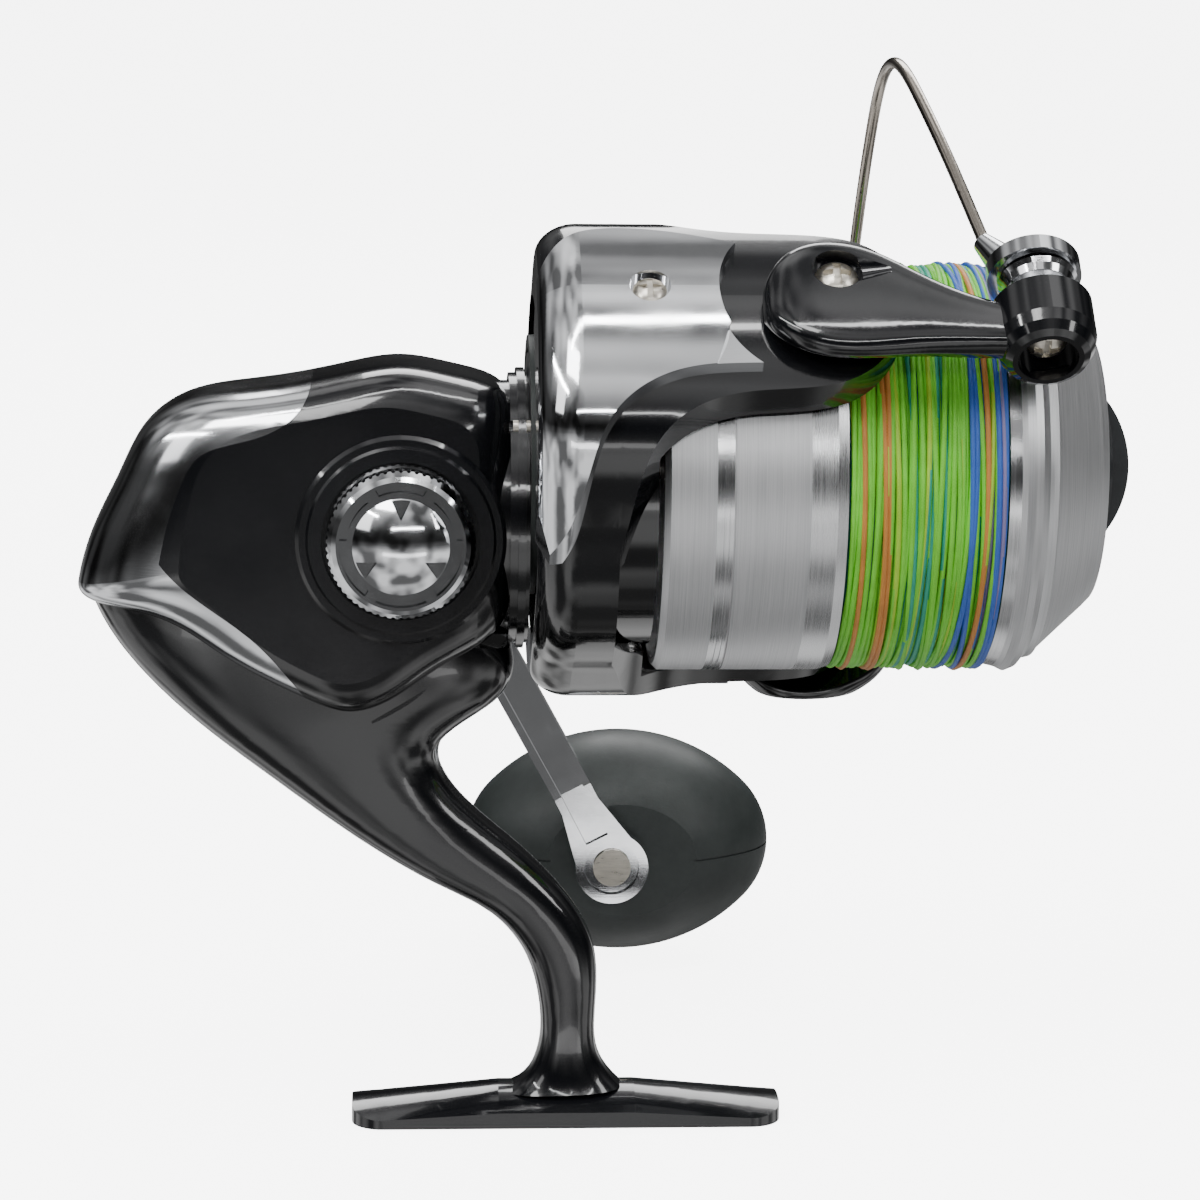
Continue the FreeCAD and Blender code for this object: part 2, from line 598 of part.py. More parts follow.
def cyl_front_space():
    """Space in front of the rotor wall, filled by the hub ring."""
    return Part.makeCylinder(26.8, 3.0, V(5.0, 0, 0), V(1, 0, 0))


def rotor_frame():
    cup = yoke(0.0, 6.0).cut(Part.makeCylinder(26.6, 12.0, V(-7.0, 0, 0), V(1, 0, 0)))
    hub_ring = turned_x([(4.6, 28.2), (12.0, 28.2), (12.0, 26.4), (8.6, 26.4), (8.6, 9.6), (9.0, 9.6),
                         (9.0, 4.65), (5.2, 4.65), (5.2, 27.0), (4.6, 27.0)])
    drive_hole = cyl_x(4.65, 4, 10).cut(
        box(4, 10, 3.95, 6, SHAFT_Z - 6, SHAFT_Z + 6)).cut(box(4, 10, -6, -3.95, SHAFT_Z - 6, SHAFT_Z + 6))
    hub = cyl_x(9.6, 5.2, 9.0).cut(drive_hole)
    body = fuse(hub_ring, hub, to_arm(cup.cut(cyl_front_space())), to_arm(rotor_arm()), to_arm(rotor_arm(), True))
    window = box(5.0, 9.4, -6.5, 6.5, 14.0, 22.5)
    for k in range(4):
        hole = window.copy()
        hole.rotate(V(0, 0, 0), V(1, 0, 0), 45 + 90 * k + ARM_TILT)
        hole.translate(V(0, 0, SHAFT_Z))
        body = body.cut(hole)
    drill = Part.makeCylinder(1.1, 10, arm_point(2.0, 0, 12.8), V(1, 0, 0))
    return body.cut(drill)


COVER_UPPER = [(-7.4, 0.0), (-6.4, 5.0), (-3.8, 9.6), (0.6, 12.9), (6.0, 13.8), (18.6, 11.4), (36.0, 7.6)]
COVER_LOWER = [(36.0, -12.6), (22.0, -13.3), (12.5, -14.9), (6.6, -18.2), (2.6, -22.8), (-1.2, -28.6),
               (-4.6, -29.6)]


def cover_outline():
    """Plan of the first cover: a long tongue with a leg that wraps down at the rear."""
    upper = [V(x, t, 12.0) for x, t in COVER_UPPER]
    lower = [V(x, t, 12.0) for x, t in COVER_LOWER]
    rear = V(-9.0, -20.0, 12.0)
    edges = [open_spline(upper), Part.makeLine(upper[-1], lower[0]), open_spline(lower),
             Part.makeLine(lower[-1], rear), Part.makeLine(rear, upper[0])]
    return Part.Face(Part.Wire(edges)).extrude(V(0, 0, 50))


def arm_cover(first):
    """Shell over an arm that folds down over the rear edge of the rotor."""
    rise = 2.2 if first else 1.0
    top = ARM_R + rise
    shell = yoke(rise, 34.0).cut(yoke(0.0, 40.0))
    shell = shell.cut(Part.makeCylinder(COVER_REAR_R, 20, V(-12.0, 0, 0), V(1, 0, 0)))
    outline = cover_outline() if first else box(-7.0, 35.0, -15.2, 15.2, 12.0, 60.0)
    shell = shell.common(outline)
    swing = Part.makeCylinder(17.4 if first else 18.9, 30, V(PIVOT_X, 0, 30), V(0, 0, 1))
    shell = shell.cut(swing)
    if first:
        for k in range(5):
            sweep = plan_prism(LEVER_PLAN, LEVER_BASE - 0.4, LEVER_BASE + 12.0)
            sweep.rotate(V(PIVOT_X, 0, 0), V(0, 0, 1), BAIL_SWING + 9.0 * k)
            shell = shell.cut(sweep)
    hole = Part.makeCylinder(1.5, 20, V(COVER_SCREW_X, 0, 30), V(0, 0, 1))
    sink = Part.makeCylinder(3.1, 10, V(COVER_SCREW_X, 0, top - 1.3), V(0, 0, 1))
    return shell.cut(hole).cut(sink)


LEVER_PLAN = [(27.0, -1.0), (30.0, 5.0), (37.5, 7.2), (43.5, 5.4), (50.0, 0.8), (56.0, -3.2),
              (63.0, -5.4), (69.0, -5.4), (74.6, -7.0), (76.0, -10.4), (73.6, -13.6), (66.0, -14.6),
              (57.0, -14.2), (47.0, -13.8), (38.0, -14.4), (31.0, -11.4), (27.6, -6.4)]


def inset_outline(points, amount):
    """Closed (x, t) outline moved inwards, given clockwise."""
    moved = []
    for k, (x, t) in enumerate(points):
        ahead, behind = points[(k + 1) % len(points)], points[k - 1]
        along = V(ahead[0] - behind[0], ahead[1] - behind[1], 0).normalize()
        moved.append((x + along.y * amount, t - along.x * amount))
    return moved


def rounded_plate(plan, base, levels):
    """Plate with rounded edges: (height, inset) levels above its base."""
    wires = []
    for height, inset in levels:
        outline = inset_outline(plan, inset)
        wires.append(closed_spline([V(x, t, base + height) for x, t in outline]))
    return Part.makeLoft(wires, True, False)


EDGE_LEVELS = [(0.0, 0.7), (0.8, 0.1), (2.4, 0.0), (4.0, 0.8), (5.2, 2.2), (5.8, 3.8)]


LEVER_SECTIONS = [
    # x, lower t, upper t, height
    (27.0, -6.2, -1.4, 2.6), (28.4, -9.2, 2.2, 4.4), (32.0, -12.6, 5.8, 5.6), (37.5, -14.3, 7.1, 5.9),
    (43.5, -14.3, 5.4, 5.9), (50.0, -13.9, 0.9, 5.9), (57.0, -13.9, -3.5, 5.9), (63.0, -13.9, -5.6, 5.7),
    (68.5, -13.8, -6.4, 5.2), (72.6, -13.1, -7.4, 4.2), (74.6, -11.8, -8.9, 2.6),
]


def lever_section(x, low, high, height):
    """Rounded section across the lever, standing on its underside."""
    mid, half = (low + high) / 2, (high - low) / 2
    points = []
    for k in range(16):
        a = 2 * math.pi * (k + 0.5) / 16
        c, s = math.cos(a), math.sin(a)
        across = math.copysign(abs(c) ** 0.64, c)
        up = math.copysign(abs(s) ** 0.64, s)
        points.append(V(x, mid + half * across, LEVER_BASE + height * (1.0 + up) / 2))
    return closed_spline(points)


def bail_lever():
    plate = Part.makeLoft([lever_section(*v) for v in LEVER_SECTIONS], True, False)
    profile = [(-14.9, 0), (-14.9, 5.3), (-14.3, 6.3), (-13.0, 7.1), (-11.2, 7.6), (-4.8, 7.6), (-4.8, 0)]
    boss = turned_y(profile, ROLLER_X, ROLLER_S)
    recess = Part.makeCylinder(4.5, 4.4, V(ROLLER_X, -15.9, ROLLER_S), V(0, 1, 0))
    drill = Part.makeCylinder(1.7, 30, V(ROLLER_X, -18, ROLLER_S), V(0, 1, 0))
    pivot = Part.makeCylinder(2.2, 20, V(PIVOT_X, 0, 35), V(0, 0, 1))
    sink = Part.makeCylinder(3.9, 10, V(PIVOT_X, 0, LEVER_BASE + 3.0), V(0, 0, 1))
    scoop = Part.makeCone(3.4, 1.2, 7.0, V(PIVOT_X + 1.0, 0, LEVER_BASE + 6.8), V(1, 0, 0))
    return cut_all(plate.fuse(boss), recess, drill, pivot, sink, scoop)


WIRE_PATH = [
    # x, t, s along the bail from the roller side to the far mount
    (61.6, 9.6, 40.4), (58.6, 27.0, 38.6), (55.4, 46.0, 35.4), (53.6, 60.0, 29.6), (53.0, 67.8, 19.0),
    (52.8, 70.2, 5.0), (52.4, 68.6, -9.0), (51.4, 62.2, -22.0), (49.6, 51.0, -31.6), (46.4, 35.0, -37.8),
    (42.6, 18.0, -41.0), (40.6, 8.0, -42.4),
]
WIRE_R = 0.95


def bail_wire():
    """Round wire bent along one smooth curve."""
    points = [V(*p) for p in WIRE_PATH]
    path = Part.Wire([open_spline(points)])
    profile = Part.Wire([Part.makeCircle(WIRE_R, points[0], path.Edges[0].tangentAt(0.0))])
    return path.makePipeShell([profile], True, True)


def wire_cap():
    disc = Part.makeCylinder(7.1, 2.6, V(ROLLER_X - 0.4, 1.2, ROLLER_S), V(0, 1, 0))
    dome = Part.makeSphere(9.6, V(ROLLER_X - 0.4, 1.2 + 4.6 - 9.6, ROLLER_S))
    dome = dome.common(Part.makeCylinder(6.9, 8, V(ROLLER_X - 0.4, 2.0, ROLLER_S), V(0, 1, 0)))
    end = V(*WIRE_PATH[0])
    start = V(ROLLER_X - 3.4, 2.8, ROLLER_S)
    along = end - start
    socket = Part.makeCone(3.2, 1.6, along.Length + 0.8, start, along)
    spigot = Part.makeCylinder(2.6, 6.0, V(ROLLER_X, -4.7, ROLLER_S), V(0, 1, 0))
    drill = Part.makeCylinder(1.6, 6.4, V(ROLLER_X, -5.5, ROLLER_S), V(0, 1, 0))
    return fuse(disc, dome, socket, spigot).cut(drill).cut(bail_wire())


def bail_mount():
    """Foot of the bail wire on the plain arm, drawn with s negative."""
    base = -LEVER_BASE
    plan = [(27.0, -2.0), (28.6, -9.0), (34.0, -14.6), (42.0, -15.6), (49.0, -12.8), (53.6, -8.2),
            (55.0, -2.4), (52.0, 4.4), (46.5, 9.0), (38.0, 10.4), (30.5, 6.6)]
    plan = [(x, -t) for x, t in plan]
    plate = rounded_plate(plan, LEVER_BASE, EDGE_LEVELS)
    plate.rotate(V(0, 0, 0), V(1, 0, 0), 180)
    crown = Part.makeCylinder(22.0, 120, V(0, -2.6, base - 5.8 + 22.0), V(1, 0, 0))
    plate = plate.common(crown)
    pivot = Part.makeCylinder(2.2, 20, V(PIVOT_X, 0, -55), V(0, 0, 1))
    sink = Part.makeCylinder(4.2, 10, V(PIVOT_X, 0, base - 2.8 - 10), V(0, 0, 1))
    end = V(*WIRE_PATH[-1])
    before = V(*WIRE_PATH[-2])
    along = (before - end).normalize()
    socket = Part.makeCone(2.9, 1.7, 9.0, end - along * 2.0, along)
    return fuse(plate, socket).cut(pivot).cut(sink).cut(bail_wire())


def pivot_screws(sign):
    top = sign * (LEVER_BASE + (5.2 if sign > 0 else 5.0))
    return pan_screw(V(PIVOT_X, 0, top), V(0, 0, sign), 3.3, 2.2, 2.15, 8.4)


# Spool ---------------------------------------------------------------------------

def spool():
    groove, step = 0.35, 0.85
    rear = [(SPOOL_REAR, 30.6), (SPOOL_REAR, 31.4), (SPOOL_REAR + 0.9, SPOOL_R)]
    rings = []
    for k in range(3):
        x = 21.2 + k * step
        rings += [(x, SPOOL_R), (x, SPOOL_R - 0.3), (x + groove, SPOOL_R - 0.3), (x + groove, SPOOL_R)]
    front = [(LINE_REAR - 1.6, SPOOL_R), (LINE_REAR, SPOOL_R - 0.5), (LINE_REAR, ARBOR_R),
             (LINE_FRONT, ARBOR_R), (LINE_FRONT, 31.3), (LIP_X - 1.2, 31.9), (LIP_X, 32.5),
             (LIP_X + 1.2, 32.0), (70.4, 31.0), (70.8, 30.6), (72.2, 30.3), (72.5, 29.7),
             (SPOOL_FRONT - 1.2, 22.6), (SPOOL_FRONT, 21.4), (SPOOL_FRONT, 17.2),
             (68.0, 17.2), (68.0, 5.0), (64.6, 5.0), (64.6, 2.8), (44.0, 2.8), (44.0, 8.0), (62.0, 8.0), (62.0, 18.4),
             (41.0, 18.4), (38.6, 20.0), (38.6, 30.6)]
    return turned_x(rear + rings + front)


def line_winding():
    return turned_x([(LINE_REAR + 0.1, ARBOR_R + 0.05), (LINE_REAR + 0.1, LINE_R - 0.4),
                     (LINE_REAR + 1.2, LINE_R), (52.0, LINE_R + 0.3), (LINE_FRONT - 1.6, LINE_R - 0.3),
                     (LINE_FRONT - 0.1, LINE_R - 1.0), (LINE_FRONT - 0.1, ARBOR_R + 0.05)])


def drag_stack(keyed):
    """Alternate drag washers: keyed ones turn with the shaft, eared ones with the spool."""
    parts = []
    for k in range(6):
        if (k % 2 == 0) != keyed:
            continue
        x0 = 68.1 + k * 1.3
        if keyed:
            parts.append(ring_x(14.8, SHAFT_R + 0.02, x0, x0 + 1.2))
        else:
            parts.append(ring_x(16.6, 4.6, x0, x0 + 1.2))
    return Part.Compound(parts)


def drag_knob():
    body = turned_x([(79.4, 4.2), (79.4, 10.4), (80.4, 10.9), (83.0, 10.9), (84.2, 10.2),
                     (84.2, 0), (83.2, 0), (83.2, 4.2)])
    grip = plan_grip()
    return body.fuse(grip).removeSplitter()


def plan_grip():
    """Raised finger grip across the face of the drag knob."""
    bar = box(84.1, 88.4, -3.4, 3.4, SHAFT_Z - 10.4, SHAFT_Z + 10.4)
    ball = Part.makeSphere(17.2, V(71.2, 0, SHAFT_Z))
    return bar.common(ball)


def main_shaft():
    rod = cyl_x(SHAFT_R, SLIDER_X, 82.6)
    for side in (-1, 1):
        y0 = 1.75 if side > 0 else -4.0
        rod = rod.cut(box(66.0, 79.0, y0, y0 + 2.25, SHAFT_Z - 3, SHAFT_Z + 3))
    return rod.cut(slider_screw_space())


def oscillation_slider():
    x0, x1 = SLIDER_X, SLIDER_X + 7.0
    block = fuse(box(x0, x1, -3.2, 10.8, SHAFT_Z - 5.4, SHAFT_Z + 4.2),
                 box(x0, x1, 3.6, 12.4, SHAFT_Z + 4.0, WORM_Z + 4.4))
    return cut_all(block, cyl_x(SHAFT_R, x0, x1 + 1), cyl_x(3.3, x0 - 1, x1 + 1, WORM_Y, WORM_Z),
                   cyl_x(1.5 + FIT, x0 - 1, x1 + 1, 9.0, ROD_Z), slider_screw_space(),
                   slider_pawl())


def worm_shaft():
    """Level wind worm with crossing grooves cut as tilted rings."""
    rod = cyl_x(2.9, -62.0, -24.0, WORM_Y, WORM_Z)
    for k in range(7):
        for lean in (-28, 28):
            centre = V(-58.5 + k * 4.6, WORM_Y, WORM_Z)
            torus = Part.makeTorus(2.95, 0.42, centre, V(1, 0, 0))
            torus.rotate(centre, V(0, 0, 1), lean)
            rod = rod.cut(torus)
    ends = cyl_x(1.6, -64.5, -13.9, WORM_Y, WORM_Z)
    return rod.fuse(ends).removeSplitter()


# Small parts --------------------------------------------------------------------------

def clutch_housing():
    """Round nose on the neck that holds the one way clutch."""
    body = turned_x([(NECK_FRONT + 0.05, 7.6), (NECK_FRONT + 0.05, 17.6), (-5.2, 17.6), (-5.2, 13.2),
                     (3.6, 13.2), (4.4, 12.4), (4.4, 10.0), (-5.0, 10.0), (-5.0, 7.6)])
    hole = cyl_x(1.0, -8.0, -4.0, 0.0, SHAFT_Z + 15.4)
    hole.rotate(V(0, 0, SHAFT_Z), V(1, 0, 0), 180)
    return cut_all(body, *turned_copies(hole, 3, V(0, 0, SHAFT_Z), V(1, 0, 0)))


def clutch_screws():
    screw = pan_screw(V(-4.2, 0, SHAFT_Z + 15.4), V(1, 0, 0), 1.9, 1.0, 1.0, 4.4)
    screw.rotate(V(0, 0, SHAFT_Z), V(1, 0, 0), 180)
    return Part.Compound(turned_copies(screw, 3, V(0, 0, SHAFT_Z), V(1, 0, 0)))


def clutch_rollers():
    roller = cyl_x(0.42, -4.0, 3.0, 0.0, SHAFT_Z + 6.78)
    return Part.Compound(turned_copies(roller, 8, V(0, 0, SHAFT_Z), V(1, 0, 0)))


def rotor_nut():
    return hexagon_x(14.0, 9.05, 12.2).cut(cyl_x(3.95, 8, 14)).common(cyl_x(7.6, 9.0, 12.3))


def nut_plate():
    """Lock plate over the nut, held by one screw to the rotor web."""
    plate = ring_x(10.6, 6.0, 12.25, 13.05)
    ear = box(12.25, 13.05, -3.2, 3.2, 9.0, 14.6)
    stand = Part.makeCylinder(2.6, 4.0, V(9.05, 0, 12.8), V(1, 0, 0))
    for piece in (ear, stand):
        piece.rotate(V(0, 0, 0), V(1, 0, 0), ARM_TILT)
        piece.translate(V(0, 0, SHAFT_Z))
    plate = plate.fuse(ear).fuse(stand)
    drill = Part.makeCylinder(1.1, 10, V(5, 0, 12.8), V(1, 0, 0))
    drill.rotate(V(0, 0, 0), V(1, 0, 0), ARM_TILT)
    drill.translate(V(0, 0, SHAFT_Z))
    return plate.cut(drill)


def nut_plate_screw():
    return pan_screw(arm_point(14.1, 0, 12.8), V(1, 0, 0), 2.1, 1.0, 1.05, 4.6)


def bail_spring_parts():
    """Torsion spring and its guide in the pocket of the bail arm."""
    coil = Part.makeTorus(2.6, 0.34, V(SPRING_X, 0, 35.2), V(0, 0, 1))
    upper = coil.copy()
    upper.translate(V(0, 0, 0.66))
    leg = box(SPRING_X + 2.4, SPRING_X + 10.6, -0.3, 0.3, 35.4, 36.0)
    guide = Part.makeCylinder(1.9, 2.4, V(SPRING_X, 0, 35.0), V(0, 0, 1))
    return fuse(coil, upper, leg), guide


def line_roller():
    """Flanged roller with a shallow line groove."""
    profile = [(-4.4, 3.6), (-4.4, 5.7), (-3.6, 5.9), (-2.9, 5.3), (-1.3, 5.0), (-0.2, 5.5),
               (0.5, 6.0), (0.9, 5.6), (0.9, 3.6)]
    face = polygon([V(ROLLER_X, t, ROLLER_S + r) for t, r in profile])
    return face.revolve(V(ROLLER_X, 0, ROLLER_S), V(0, 1, 0), 360)


def roller_bearing():
    outer = Part.makeCylinder(3.55, 3.6, V(ROLLER_X, -3.6, ROLLER_S), V(0, 1, 0))
    inner = Part.makeCylinder(2.65, 5.0, V(ROLLER_X, -4.4, ROLLER_S), V(0, 1, 0))
    return outer.cut(inner)


def roller_screw():
    return pan_screw(V(ROLLER_X, -13.2, ROLLER_S), V(0, -1, 0), 3.0, 1.6, 1.6, 12.0)


def cover_screws():
    first = to_arm(pan_screw(V(COVER_SCREW_X, 0, ARM_R + 2.0), V(0, 0, 1), 2.8, 1.1, 1.4, 5.4))
    other = to_arm(pan_screw(V(COVER_SCREW_X, 0, ARM_R + 1.1), V(0, 0, 1), 2.8, 1.1, 1.4, 4.6), True)
    return Part.Compound([first, other])


def knob_bearings():
    near = bearing_y(4.0, 2.02, CRANK_Y + 5.5, CRANK_Y + 8.8, KNOB_X, KNOB_Z)
    far = bearing_y(4.0, 2.02, KNOB_Y + 9.1, KNOB_Y + 12.6, KNOB_X, KNOB_Z)
    return Part.Compound([near, far])


def knob_cap():
    y = KNOB_Y
    return turned_y([(y + 14.3, 0), (y + 14.3, 5.5), (y + 18.6, 5.5), (y + 20.2, 4.4), (y + 20.8, 0)],
                    KNOB_X, KNOB_Z)


def handle_screw():
    y = HUB_Y + 4.0
    shank = cyl_y(2.0, 8.0, y)
    head = turned_y([(y, 0), (y, 4.6), (y + 1.6, 4.6), (y + 2.8, 3.4), (y + 2.8, 0)])
    slot = box(DRIVE_X - 3.6, DRIVE_X + 3.6, y + 1.9, y + 4.0, DRIVE_Z - 0.7, DRIVE_Z + 0.7)
    return shank.fuse(head).removeSplitter().cut(slot)


def worm_gear():
    length = 4.7
    twist = TWIST_RATE * PINION_TEETH / WORM_TEETH * length
    gear = toothed_bar(WORM_TEETH, WORM_GEAR_R - 0.75, WORM_GEAR_R + 0.5, TOOTH_X0, TOOTH_X0 + length,
                       worm_phase(), twist, WORM_Y, WORM_Z)
    return gear.cut(cyl_x(1.6, -20, -10, WORM_Y, WORM_Z))


def worm_bushings():
    front = ring_x(2.8, 1.6 + FIT, -23.7, -20.1, WORM_Y, WORM_Z)
    rear = ring_x(2.8, 1.6 + FIT, -64.6, -62.5, WORM_Y, WORM_Z)
    return Part.Compound([front, rear])


def slider_pawl():
    """Pawl carrier in the slider, stopping just short of the worm."""
    return Part.makeCylinder(1.6, 1.6, V(SLIDER_X + 3.5, WORM_Y, WORM_Z + 3.2), V(0, 0, 1))


def slider_screw():
    return pan_screw(V(SLIDER_X + 3.5, 0, SHAFT_Z - 6.4), V(0, 0, -1), 2.2, 1.0, 1.0, 4.4)


def slider_screw_space():
    return Part.makeCylinder(1.0, 4.5, V(SLIDER_X + 3.5, 0, SHAFT_Z - 5.5), V(0, 0, 1))


COVER_SCREWS = [(-40.5, 112.6), (-46.0, 88.0), (-30.0, 76.4)]
COVER_SCREW_TOP = 16.9


def cover_fasteners():
    """Screws that hold the side cover, put in from the frame side."""
    return Part.Compound([pan_screw(V(x, COVER_SCREW_TOP, z), V(0, 1, 0), 2.1, 1.0, 1.1, 3.0)
                          for x, z in COVER_SCREWS])


def screw_spaces():
    """Holes in the frame for the cover screws and the clutch housing screws."""
    spaces = []
    for x, z in COVER_SCREWS:
        spaces.append(cyl_y(2.1, COVER_SCREW_TOP - 1.0, 20.0, x, z).fuse(cyl_y(1.1, 10.0, 17.0, x, z)))
    bore = cyl_x(1.0, -10.2, -6.0, 0.0, SHAFT_Z - 15.4)
    spaces += turned_copies(bore, 3, V(0, 0, SHAFT_Z), V(1, 0, 0))
    return Part.Compound(spaces)


def spool_seat():
    """Step washers on the main shaft behind the spool."""
    return fuse(ring_x(6.0, SHAFT_R, 40.4, 42.6), ring_x(4.2, SHAFT_R, 42.6, 43.9))


def spool_bearing():
    return bearing_x(5.0, SHAFT_R + FIT, 64.7, 67.9)


def click_ring():
    ring = ring_x(12.0, 9.0, 60.6, 61.9)
    notch = cyl_x(0.5, 60, 62, 0, SHAFT_Z + 12.1)
    return cut_all(ring, *turned_copies(notch, 24, V(0, 0, SHAFT_Z), V(1, 0, 0)))


def retaining_ring():
    ring = ring_x(17.15, 15.2, 76.6, 77.5)
    return ring.cut(box(76, 78, -3.0, 3.0, SHAFT_Z + 10, SHAFT_Z + 20))


def balance_weight():
    """Curved weight inside the rotor skirt beside the plain arm."""
    block = sector(26.3, 22.6, -3.0, 4.6, 24)
    block.rotate(V(0, 0, 0), V(1, 0, 0), 180 + ARM_TILT)
    block.translate(V(0, 0, SHAFT_Z))
    return block


def friction_ring():
    return ring_x(20.4, 18.4, NECK_FRONT + 0.03, -5.9)


# Assembly -------------------------------------------------------------------------

def build():
    far, cover, guard = gearbox_parts()
    frame = cut_all(body_frame(far), screw_spaces())
    parts = {
        "body_frame": frame,
        "side_cover": side_cover(cover).cut(frame),
        "rear_guard": guard,
        "screw_cap": screw_cap(),
        "drive_gear": drive_gear(),
        "drive_shaft": drive_shaft(),
        "drive_bearing_cover_side": bearing_y(6.5, 3.5 + FIT, -16.5, -13.1),
        "drive_bearing_frame_side": bearing_y(6.5, 3.5 + FIT, 12.6, 16.4),
        "handle_collar": handle_collar(),
        "handle_arm": handle_arm(),
        "knob_shaft": knob_shaft(),
        "handle_knob": handle_knob(),
        "pinion_gear": pinion_gear(),
        "pinion_bearing_front": bearing_x(8.0, 4.6 + FIT, -10.1, -7.1),
        "pinion_bearing_rear": bearing_x(3.9, 3.0 + FIT, -23.1, -20.5),
        "rotor_frame": rotor_frame(),
        "main_shaft": main_shaft(),
        "oscillation_slider": oscillation_slider(),
        "worm_shaft": worm_shaft(),
        "spool": spool(),
        "line_winding": line_winding(),
        "drag_washers_keyed": drag_stack(True),
        "drag_washers_eared": drag_stack(False),
        "drag_knob": drag_knob(),
        "bail_lever": to_arm(bail_lever()),
        "bail_wire": to_arm(bail_wire()),
        "wire_cap": to_arm(wire_cap()),
        "bail_mount": to_arm(bail_mount()),
        "arm_cover": to_arm(arm_cover(True)),
        "plain_arm_cover": to_arm(arm_cover(False), True),
        "clutch_housing": clutch_housing(),
        "clutch_housing_screws": clutch_screws(),
        "clutch_ring": ring_x(9.95, 7.3, -4.8, 3.8),
        "clutch_rollers": clutch_rollers(),
        "clutch_sleeve": ring_x(6.3, 4.6, -4.6, 5.0),
        "friction_ring": friction_ring(),
        "rotor_nut": rotor_nut(),
        "nut_lock_plate": nut_plate(),
        "nut_plate_screw": nut_plate_screw(),
        "bail_pivot_screws": to_arm(Part.Compound([pivot_screws(1), pivot_screws(-1)])),
        "line_roller": to_arm(line_roller()),
        "roller_bearing": to_arm(roller_bearing()),
        "roller_screw": to_arm(roller_screw()),
        "arm_cover_screws": cover_screws(),
        "balance_weight": balance_weight(),
        "knob_bearings": knob_bearings(),
        "knob_cap": knob_cap(),
        "handle_screw": handle_screw(),
        "worm_gear": worm_gear(),
        "worm_bushings": worm_bushings(),
        "slider_guide_rod": cyl_x(1.5, -64.9, -27.2, 9.0, ROD_Z),
        "slider_pawl": slider_pawl(),
        "slider_screw": slider_screw(),
        "side_cover_screws": cover_fasteners(),
        "spool_seat": spool_seat(),
        "spool_bearing": spool_bearing(),
        "click_ring": click_ring(),
        "retaining_ring": retaining_ring(),
    }
    parts["bail_spring"], parts["bail_spring_guide"] = [to_arm(p) for p in bail_spring_parts()]
    return parts


def main():
    os.makedirs("parts", exist_ok=True)
    for name, shape in build().items():
        shape.exportStep("parts/%s.step" % name)
        print(name, shape.isValid(), len(shape.Solids), round(shape.Volume, 1))


main()
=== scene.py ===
import math
import random
import bpy
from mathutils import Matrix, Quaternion, Vector


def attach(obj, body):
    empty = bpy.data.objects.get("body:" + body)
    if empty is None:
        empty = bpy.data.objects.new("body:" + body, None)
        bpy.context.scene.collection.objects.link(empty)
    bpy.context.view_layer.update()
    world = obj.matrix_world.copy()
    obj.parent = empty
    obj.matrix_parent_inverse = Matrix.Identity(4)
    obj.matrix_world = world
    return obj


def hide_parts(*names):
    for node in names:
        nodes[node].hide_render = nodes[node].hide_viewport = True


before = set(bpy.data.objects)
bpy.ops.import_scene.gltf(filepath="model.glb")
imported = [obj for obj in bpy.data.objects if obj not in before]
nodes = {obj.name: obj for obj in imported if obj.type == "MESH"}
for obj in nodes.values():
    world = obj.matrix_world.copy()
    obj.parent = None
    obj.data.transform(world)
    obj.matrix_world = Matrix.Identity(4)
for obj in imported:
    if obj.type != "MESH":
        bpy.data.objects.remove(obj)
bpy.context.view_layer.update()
scene = bpy.context.scene

SHAFT_Z = 0.1065          # height of the main shaft above the foot


# Camera ------------------------------------------------------------------------

def make_camera():
    target = Vector((0.0048, 0.0, 0.0848))
    azimuth, elevation, roll = math.radians(-3.3), math.radians(10.2), math.radians(0.6)
    back = Vector((math.sin(azimuth) * math.cos(elevation), -math.cos(azimuth) * math.cos(elevation),
                   math.sin(elevation)))
    data = bpy.data.cameras.new("camera")
    data.lens = 110.4
    data.sensor_width = 36.0
    data.clip_start = 0.01
    data.clip_end = 50.0
    camera = bpy.data.objects.new("camera", data)
    scene.collection.objects.link(camera)
    camera.location = target + back * 0.584
    camera.rotation_mode = "QUATERNION"
    camera.rotation_quaternion = (-back).to_track_quat("-Z", "Y") @ Quaternion((0, 0, 1), roll)
    scene.camera = camera


# Materials ---------------------------------------------------------------------

